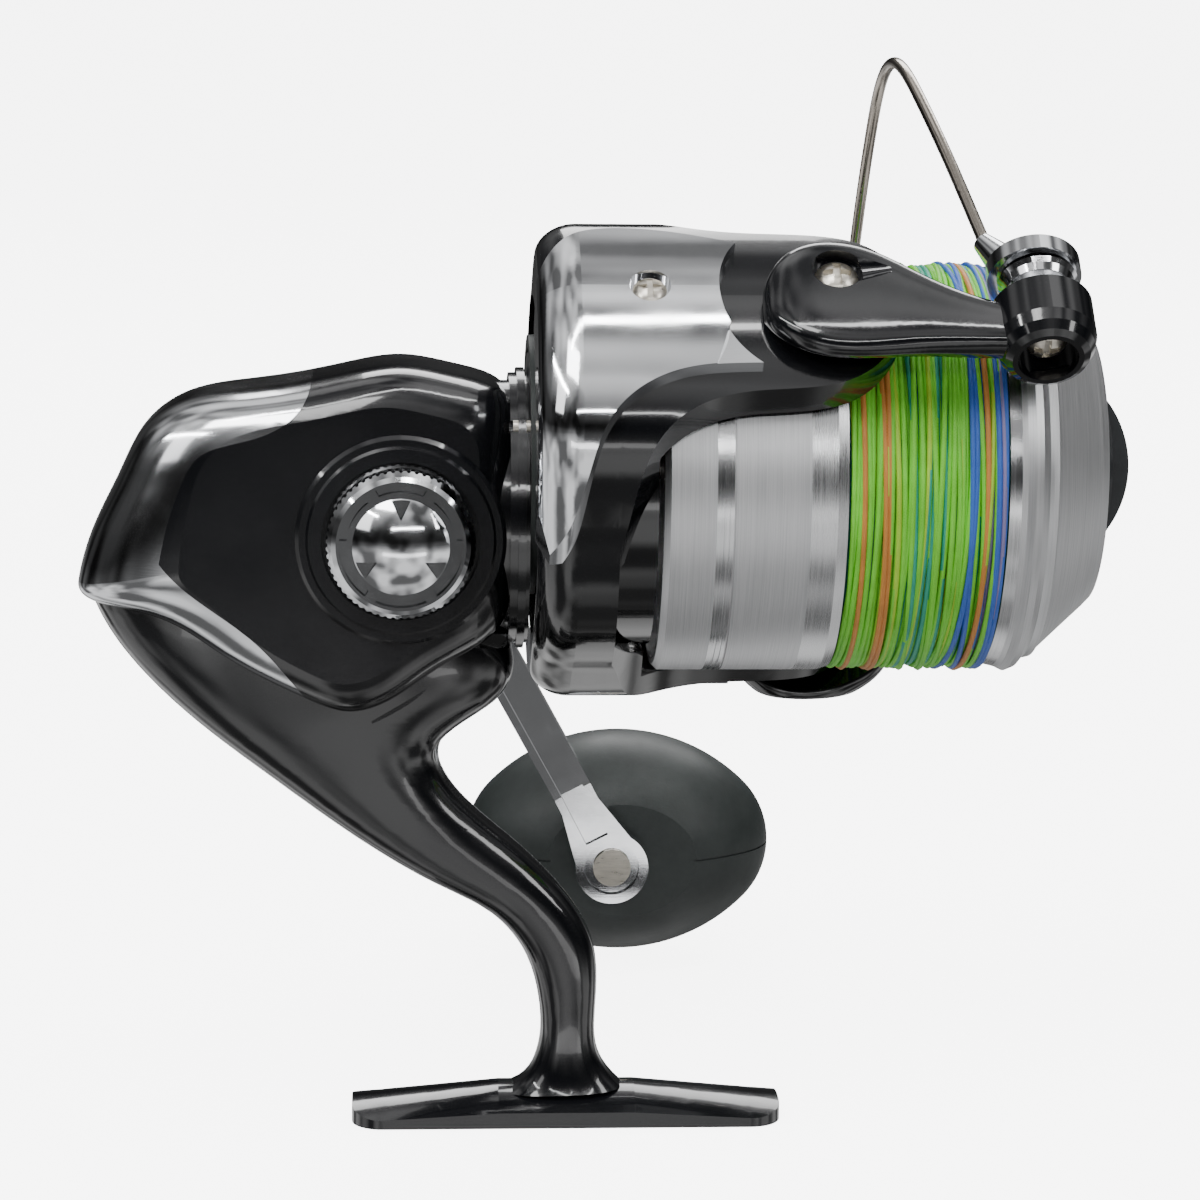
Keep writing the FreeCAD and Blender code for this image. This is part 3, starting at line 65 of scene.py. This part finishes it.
class Material:
    """Principled material with object-space coordinates and small helpers."""

    def __init__(self, name, **sockets):
        self.material = bpy.data.materials.new(name)
        self.material.use_nodes = True
        self.tree = self.material.node_tree
        self.shader = self.tree.nodes["Principled BSDF"]
        self.set(**sockets)
        self.where = self.tree.nodes.new("ShaderNodeTexCoord").outputs["Object"]

    def set(self, **sockets):
        for key, value in sockets.items():
            socket = self.shader.inputs[key.replace("_", " ")]
            socket.default_value = (*value, 1.0) if isinstance(value, tuple) else value

    def node(self, kind, inputs=None, **settings):
        made = self.tree.nodes.new(kind)
        for key, value in settings.items():
            setattr(made, key, value)
        for key, value in (inputs or {}).items():
            if isinstance(value, bpy.types.NodeSocket):
                self.tree.links.new(value, made.inputs[key])
            else:
                made.inputs[key].default_value = value
        return made

    def stretched(self, x, y, z):
        return self.node("ShaderNodeMapping", {"Vector": self.where, "Scale": (x, y, z)}).outputs[0]

    def noise(self, scale, detail=3.0, rough=0.55, vector=None):
        made = self.node("ShaderNodeTexNoise", {"Vector": vector or self.where, "Scale": scale,
                                                "Detail": detail, "Roughness": rough})
        return made.outputs["Fac"]

    def between(self, fac, low, high, start=0.3, stop=0.7):
        made = self.node("ShaderNodeMapRange", {"Value": fac, "From Min": start, "From Max": stop,
                                                "To Min": low, "To Max": high})
        return made.outputs[0]

    def mix(self, fac, first, second):
        made = self.node("ShaderNodeMix", data_type="RGBA")
        self.tree.links.new(fac, made.inputs[0])
        for slot, value in ((6, first), (7, second)):
            if isinstance(value, bpy.types.NodeSocket):
                self.tree.links.new(value, made.inputs[slot])
            else:
                made.inputs[slot].default_value = (*value, 1.0)
        return made.outputs[2]

    def link(self, output, socket):
        self.tree.links.new(output, self.shader.inputs[socket])

    def bump(self, height, strength, distance=0.0002, after=None):
        made = self.node("ShaderNodeBump", {"Height": height, "Strength": strength, "Distance": distance})
        if after is not None:
            self.tree.links.new(after, made.inputs["Normal"])
        self.tree.links.new(made.outputs[0], self.shader.inputs["Normal"])
        return made.outputs[0]


def gloss_paint(name, base, rough):
    """Deep lacquer: faint orange peel, dust and rubbed patches."""
    m = Material(name, Coat_Weight=0.7, Coat_Roughness=0.04, Specular_IOR_Level=0.5)
    patches = m.noise(38.0, 4.0)
    m.link(m.between(patches, rough, rough + 0.12), "Roughness")
    specks = m.noise(2600.0, 2.0)
    dust = m.between(specks, 0.0, 1.0, 0.66, 0.74)
    pale = tuple(c + 0.010 for c in base)
    m.link(m.mix(dust, base, pale), "Base Color")
    m.bump(m.noise(700.0, 2.0), 0.05, 0.0001)
    return m.material


def chrome(name, base, rough):
    """Plated surface with faint waves, smudges and hairline scratches."""
    m = Material(name, Metallic=1.0)
    smudge = m.noise(60.0, 5.0, 0.65)
    m.link(m.between(smudge, rough, rough + 0.1, 0.4, 0.75), "Roughness")
    shade = tuple(c * 0.9 for c in base)
    m.link(m.mix(m.between(m.noise(45.0, 2.0), 0.0, 1.0), base, shade), "Base Color")
    wave = m.bump(m.noise(120.0, 1.0), 0.08, 0.0003)
    hair = m.noise(300.0, 2.0, 0.5, m.stretched(1.0, 1.0, 14.0))
    m.bump(hair, 0.03, 0.00005, wave)
    return m.material


def brushed(name, base, rough, stretch=(30.0, 1.0, 1.0), depth=0.12):
    """Metal with fine brushing along the stretched axis."""
    m = Material(name, Metallic=1.0)
    grain = m.noise(260.0, 4.0, 0.7, m.stretched(*stretch))
    m.link(m.between(grain, rough, rough + 0.16), "Roughness")
    dark = tuple(c * 0.78 for c in base)
    m.link(m.mix(m.between(grain, 0.0, 1.0, 0.35, 0.65), dark, base), "Base Color")
    m.bump(grain, depth, 0.00005)
    return m.material


def turned_spool(name):
    """Lathe-turned aluminium: rings along the axis, with polished and satin bands."""
    m = Material(name, Metallic=1.0)
    along = m.node("ShaderNodeSeparateXYZ", {"Vector": m.where}).outputs["X"]
    bands = m.node("ShaderNodeValToRGB")
    bands.color_ramp.interpolation = "CONSTANT"
    stops = [(0.0, 0.42), (0.14, 0.20), (0.175, 0.42), (0.33, 0.26), (0.58, 0.36), (0.72, 0.20), (0.76, 0.40),
             (0.83, 0.48)]
    ramp = bands.color_ramp.elements
    ramp[0].position, ramp[0].color = stops[0][0], (stops[0][1],) * 3 + (1.0,)
    ramp[1].position, ramp[1].color = stops[1][0], (stops[1][1],) * 3 + (1.0,)
    for position, value in stops[2:]:
        ramp.new(position).color = (value, value, value, 1.0)
    share = m.node("ShaderNodeMapRange", {"Value": along, "From Min": 0.010, "From Max": 0.084}).outputs[0]
    m.tree.links.new(share, bands.inputs[0])
    rings = m.noise(40.0, 6.0, 0.8, m.stretched(150.0, 1.2, 1.2))
    fine = m.between(rings, -0.06, 0.08)
    total = m.node("ShaderNodeMath", {0: bands.outputs[0], 1: fine}, operation="ADD").outputs[0]
    m.link(total, "Roughness")
    tone = m.mix(m.between(rings, 0.0, 1.0, 0.35, 0.65), (0.52, 0.53, 0.54), (0.70, 0.70, 0.71))
    m.link(tone, "Base Color")
    m.bump(rings, 0.12, 0.00006)
    return m.material


def moulded(name, base, rough, bump=0.2, grain=1800.0):
    """Moulded plastic or rubber with a fine skin and slight colour drift."""
    m = Material(name)
    skin = m.noise(grain, 3.0, 0.6)
    m.link(m.between(m.noise(70.0, 4.0), rough, rough + 0.14), "Roughness")
    pale = tuple(c * 1.45 + 0.004 for c in base)
    m.link(m.mix(m.between(m.noise(110.0, 5.0, 0.7), 0.0, 1.0), base, pale), "Base Color")
    m.bump(skin, bump, 0.0001)
    return m.material


def braided(name, base):
    """Braided line: small crossed bundles along the strand, with painted shade in the grooves between them."""
    m = Material(name, Roughness=0.45)
    uv = m.tree.nodes.new("ShaderNodeTexCoord").outputs["UV"]
    turns = []
    for lean in (1.0, -1.0):
        place = m.node("ShaderNodeMapping", {"Vector": uv, "Rotation": (0.0, 0.0, lean * 0.75)}).outputs[0]
        wave = m.node("ShaderNodeTexWave", {"Vector": place, "Scale": 900.0, "Distortion": 0.4})
        turns.append(wave.outputs["Fac"])
    weave_and_groove_shade = m.node("ShaderNodeMath", {0: turns[0], 1: turns[1]}, operation="MAXIMUM").outputs[0]
    drift = m.noise(160.0, 3.0)
    light = tuple(min(1.0, c * 1.2 + 0.01) for c in base)
    # dark: the line colour dimmed, used as painted shade in the weave's grooves
    dark = tuple(c * 0.72 for c in base)
    # where the weave mask is low, in the grooves of the bump, the colour turns to the dark copy: painted shade
    m.link(m.mix(m.between(drift, 0.0, 1.0), m.mix(weave_and_groove_shade, dark, base), light), "Base Color")
    m.bump(weave_and_groove_shade, 0.35, 0.00008)
    return m.material


BLACK = gloss_paint("black_lacquer", (0.006, 0.0065, 0.008), 0.10)
ROTOR_BLACK = gloss_paint("rotor_lacquer", (0.006, 0.0065, 0.008), 0.07)
LEVER_BLACK = gloss_paint("lever_lacquer", (0.005, 0.0055, 0.007), 0.06)
CHROME = chrome("chrome_plate", (0.78, 0.79, 0.81), 0.06)
GUARD_CHROME = chrome("guard_plate", (0.74, 0.75, 0.77), 0.10)
NICKEL = brushed("nickel_screw", (0.70, 0.66, 0.58), 0.24, (1.0, 1.0, 6.0))
STEEL = brushed("steel", (0.58, 0.57, 0.55), 0.22)
WIRE_STEEL = chrome("bail_steel", (0.52, 0.47, 0.41), 0.16)
SPOOL_METAL = turned_spool("turned_aluminium")
ZINC = brushed("cast_zinc", (0.52, 0.53, 0.55), 0.34, (1.0, 1.0, 1.0), 0.2)
BRASS = brushed("brass", (0.72, 0.52, 0.24), 0.26)
RUBBER = moulded("knob_rubber", (0.019, 0.024, 0.023), 0.42)
PLASTIC = moulded("dark_plastic", (0.020, 0.021, 0.024), 0.36, 0.12)
DRAG_PLASTIC = moulded("drag_plastic", (0.016, 0.018, 0.020), 0.28, 0.08)

LOOKS = [
    (BLACK, "body_frame side_cover handle_collar"),
    (ROTOR_BLACK, "rotor_frame bail_mount"),
    (LEVER_BLACK, "bail_lever"),
    (GUARD_CHROME, "rear_guard plain_arm_cover"),
    (CHROME, "arm_cover screw_cap handle_arm wire_cap line_roller"),
    (NICKEL, "arm_cover_screws bail_pivot_screws roller_screw side_cover_screws handle_screw knob_shaft "
             "clutch_housing_screws nut_plate_screw slider_screw"),
    (STEEL, "drive_shaft drive_bearing_cover_side drive_bearing_frame_side pinion_bearing_front "
            "pinion_bearing_rear clutch_ring clutch_rollers clutch_sleeve slider_guide_rod worm_shaft "
            "main_shaft slider_pawl drag_washers_keyed drag_washers_eared spool_bearing retaining_ring "
            "knob_bearings nut_lock_plate roller_bearing"),
    (SPOOL_METAL, "spool"),
    (ZINC, "drive_gear oscillation_slider balance_weight"),
    (BRASS, "pinion_gear rotor_nut"),
    (RUBBER, "handle_knob knob_cap friction_ring"),
    (PLASTIC, "clutch_housing worm_bushings worm_gear spool_seat click_ring bail_spring_guide"),
    (DRAG_PLASTIC, "drag_knob"),
    (WIRE_STEEL, "bail_wire bail_spring"),
    (RUBBER, "line_winding"),
]


def dress_nodes():
    for material, names in LOOKS:
        for name in names.split():
            mesh = nodes[name].data
            mesh.materials.clear()
            mesh.materials.append(material)


def new_piece(name, body, mesh, materials):
    piece = bpy.data.objects.new(name, mesh)
    scene.collection.objects.link(piece)
    for material in materials:
        mesh.materials.append(material)
    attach(piece, body)
    return piece


# Wound line --------------------------------------------------------------------

STRANDS = [
    braided("line_lime", (0.17, 0.64, 0.03)),
    braided("line_yellow_green", (0.36, 0.62, 0.03)),
    braided("line_orange", (0.56, 0.22, 0.04)),
    braided("line_blue", (0.03, 0.12, 0.50)),
    braided("line_violet", (0.24, 0.20, 0.40)),
    braided("line_teal", (0.02, 0.34, 0.22)),
]
LIME, YELLOW, ORANGE, BLUE, VIOLET, TEAL = range(6)
LINE_REAR = 0.0406
LINE_FRONT = 0.0642
STRAND_R = 0.00046
TURN_STEPS = 84
TUBE_SIDES = 6


def strand_list(draw):
    """Turns of line as (axial place, lean in mm, radius, colour)."""
    strands = []
    under = 40
    for k in range(under):
        x = LINE_REAR + (LINE_FRONT - LINE_REAR) * (k + 0.5) / under
        colour = draw.choice([LIME, TEAL, BLUE, YELLOW, LIME, VIOLET])
        strands.append((x, draw.uniform(-0.4, 0.4), 0.0305 + draw.uniform(0.0, 0.0002), colour))
    over = 46
    for k in range(over):
        share = (k + 0.5 + draw.uniform(-0.5, 0.5)) / over
        x = LINE_REAR + (LINE_FRONT - LINE_REAR) * min(max(share, 0.0), 1.0)
        if share < 0.07:
            colour = draw.choice([YELLOW, ORANGE, LIME])
        elif share > 0.86:
            colour = draw.choice([BLUE, VIOLET, LIME, YELLOW, LIME])
        else:
            colour = draw.choice([LIME, LIME, LIME, LIME, LIME, YELLOW, LIME, TEAL, LIME, LIME])
        strands.append((x, draw.uniform(-1.5, 1.5), 0.03105 + draw.uniform(0.0, 0.00045), colour))
    for x, lean, colour in ((0.0454, 0.9, ORANGE), (0.0461, 0.8, ORANGE), (0.0424, 0.5, ORANGE),
                            (0.0598, 0.9, BLUE), (0.0604, -0.8, ORANGE), (0.0627, 0.6, BLUE),
                            (0.0560, -2.0, LIME), (0.0520, 2.2, LIME), (0.0575, 1.9, BLUE)):
        strands.append((x, lean, 0.03165, colour))
    return strands


def wound_line():
    draw = random.Random(11)
    vertices, faces, colours, places = [], [], [], []
    margin = 0.0003
    for x0, lean, radius, colour in strand_list(draw):
        phase, second = draw.uniform(0, 2 * math.pi), draw.uniform(-0.35, 0.35)
        wobble = draw.uniform(0, 2 * math.pi)
        first = len(vertices)
        for i in range(TURN_STEPS):
            a = 2 * math.pi * i / TURN_STEPS
            x = x0 + 0.001 * (lean * math.cos(a + phase) + second * math.cos(2 * a + wobble))
            x = min(max(x, LINE_REAR + margin), LINE_FRONT - margin)
            sag = 0.0003 * max(0.0, -math.cos(a)) ** 2
            r = radius + sag + 0.00012 * math.sin(3 * a + wobble)
            for j in range(TUBE_SIDES):
                b = 2 * math.pi * j / TUBE_SIDES
                rr = r + STRAND_R * math.cos(b)
                vertices.append((x + STRAND_R * math.sin(b), rr * math.sin(a), SHAFT_Z + rr * math.cos(a)))
        for i in range(TURN_STEPS):
            for j in range(TUBE_SIDES):
                k, l = (i + 1) % TURN_STEPS, (j + 1) % TUBE_SIDES
                faces.append((first + i * TUBE_SIDES + j, first + i * TUBE_SIDES + l,
                              first + k * TUBE_SIDES + l, first + k * TUBE_SIDES + j))
                colours.append(colour)
                step, side = 2 * math.pi * 0.031 / TURN_STEPS, STRAND_R
                places.append(((i * step, j * side), (i * step, (j + 1) * side),
                               ((i + 1) * step, (j + 1) * side), ((i + 1) * step, j * side)))
    mesh = bpy.data.meshes.new("wound_line")
    mesh.from_pydata(vertices, [], faces)
    piece = new_piece("wound_line", "spool_group", mesh, STRANDS)
    layer = mesh.uv_layers.new(name="UVMap")
    for polygon, colour, corners in zip(mesh.polygons, colours, places):
        polygon.material_index = colour
        polygon.use_smooth = True
        for loop, corner in zip(polygon.loop_indices, corners):
            layer.data[loop].uv = corner
    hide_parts("line_winding")
    core = lathe("line_core", [(LINE_REAR, 0.0201), (LINE_REAR, 0.0300), (LINE_REAR + 0.001, 0.0306),
                               (LINE_FRONT - 0.001, 0.0306), (LINE_FRONT, 0.0300), (LINE_FRONT, 0.0201)], 96)
    new_piece("line_core", "spool_group", core, [STRANDS[TEAL]])


def lathe(name, profile, steps):
    """Closed ring about the spool axis from an (x, radius) outline."""
    count = len(profile)
    vertices, faces = [], []
    for i in range(steps):
        a = 2 * math.pi * i / steps
        for x, r in profile:
            vertices.append((x, r * math.sin(a), SHAFT_Z + r * math.cos(a)))
    for i in range(steps):
        k = (i + 1) % steps
        for j in range(count):
            l = (j + 1) % count
            faces.append((i * count + j, k * count + j, k * count + l, i * count + l))
    mesh = bpy.data.meshes.new(name)
    mesh.from_pydata(vertices, [], faces)
    for polygon in mesh.polygons:
        polygon.use_smooth = True
    return mesh


# Stage ---------------------------------------------------------------------------

def make_floor():
    size = 30.0
    mesh = bpy.data.meshes.new("floor")
    mesh.from_pydata([(-size, -size, 0), (size, -size, 0), (size, size, 0), (-size, size, 0)], [], [(0, 1, 2, 3)])
    floor = bpy.data.objects.new("floor", mesh)
    scene.collection.objects.link(floor)
    m = Material("pale_floor", Base_Color=(0.9, 0.9, 0.9), Roughness=0.7, Specular_IOR_Level=0.1)
    m.set(Emission_Color=(1.0, 1.0, 1.0), Emission_Strength=6.0)
    m.bump(m.noise(300.0), 0.02)
    mesh.materials.append(m.material)
    floor.visible_glossy = False
    floor.visible_diffuse = False


def area_light(name, place, aim, size, power, colour=(1.0, 1.0, 1.0)):
    data = bpy.data.lights.new(name, "AREA")
    data.shape = "RECTANGLE"
    data.size, data.size_y = size
    data.energy = power
    data.color = colour
    light = bpy.data.objects.new(name, data)
    scene.collection.objects.link(light)
    light.location = place
    light.rotation_mode = "QUATERNION"
    light.rotation_quaternion = (Vector(aim) - Vector(place)).to_track_quat("-Z", "Y")


def make_light():
    world = bpy.data.worlds.new("studio")
    scene.world = world
    world.use_nodes = True
    tree = world.node_tree
    ground = tree.nodes["Background"]
    where = tree.nodes.new("ShaderNodeTexCoord")
    split = tree.nodes.new("ShaderNodeSeparateXYZ")
    ramp = tree.nodes.new("ShaderNodeValToRGB")
    tree.links.new(where.outputs["Generated"], split.inputs[0])
    height = tree.nodes.new("ShaderNodeMapRange")
    height.inputs["From Min"].default_value = -1.0
    tree.links.new(split.outputs["Z"], height.inputs["Value"])
    tree.links.new(height.outputs[0], ramp.inputs[0])
    stops = [(0.0, 0.55), (0.36, 0.62), (0.45, 0.10), (0.50, 0.02), (0.62, 0.03), (0.72, 0.16), (0.84, 0.50),
             (1.0, 0.85)]
    elements = ramp.color_ramp.elements
    elements[0].position, elements[0].color = stops[0][0], (stops[0][1],) * 3 + (1.0,)
    elements[1].position, elements[1].color = stops[-1][0], (stops[-1][1],) * 3 + (1.0,)
    for position, value in stops[1:-1]:
        elements.new(position).color = (value, value, value, 1.0)
    patches = tree.nodes.new("ShaderNodeTexNoise")
    patches.inputs["Scale"].default_value = 2.6
    patches.inputs["Detail"].default_value = 1.0
    tree.links.new(where.outputs["Generated"], patches.inputs["Vector"])
    spread = tree.nodes.new("ShaderNodeMapRange")
    for key, value in (("From Min", 0.38), ("From Max", 0.62), ("To Min", 0.25), ("To Max", 1.9)):
        spread.inputs[key].default_value = value
    tree.links.new(patches.outputs["Fac"], spread.inputs["Value"])
    tree.links.new(ramp.outputs[0], ground.inputs["Color"])
    tree.links.new(spread.outputs[0], ground.inputs["Strength"])
    backdrop = tree.nodes.new("ShaderNodeBackground")
    backdrop.inputs["Strength"].default_value = 6.2
    blend = tree.nodes.new("ShaderNodeMixShader")
    tree.links.new(tree.nodes.new("ShaderNodeLightPath").outputs["Is Camera Ray"], blend.inputs[0])
    tree.links.new(ground.outputs[0], blend.inputs[1])
    tree.links.new(backdrop.outputs[0], blend.inputs[2])
    tree.links.new(blend.outputs[0], tree.nodes["World Output"].inputs["Surface"])
    centre = (0.0, 0.0, 0.09)
    area_light("key", (-0.5, -0.9, 1.3), centre, (0.7, 0.4), 9)
    area_light("strip_left", (-0.9, -0.5, 0.8), centre, (0.9, 0.05), 4)
    area_light("strip_top", (0.15, -0.35, 1.2), centre, (1.4, 0.06), 5)
    area_light("strip_front", (0.2, -1.3, 0.55), centre, (1.1, 0.05), 3)
    area_light("fill", (1.1, -0.7, 0.7), centre, (0.4, 0.5), 4)
    area_light("back", (0.3, 1.2, 1.1), centre, (1.2, 0.6), 12)
    area_light("panel_left", (-1.3, -0.9, 0.75), centre, (0.6, 0.6), 2.6)
    area_light("panel_low", (0.1, -1.4, -0.35), centre, (1.6, 0.12), 1.2)


make_camera()
make_floor()
make_light()
dress_nodes()
wound_line()
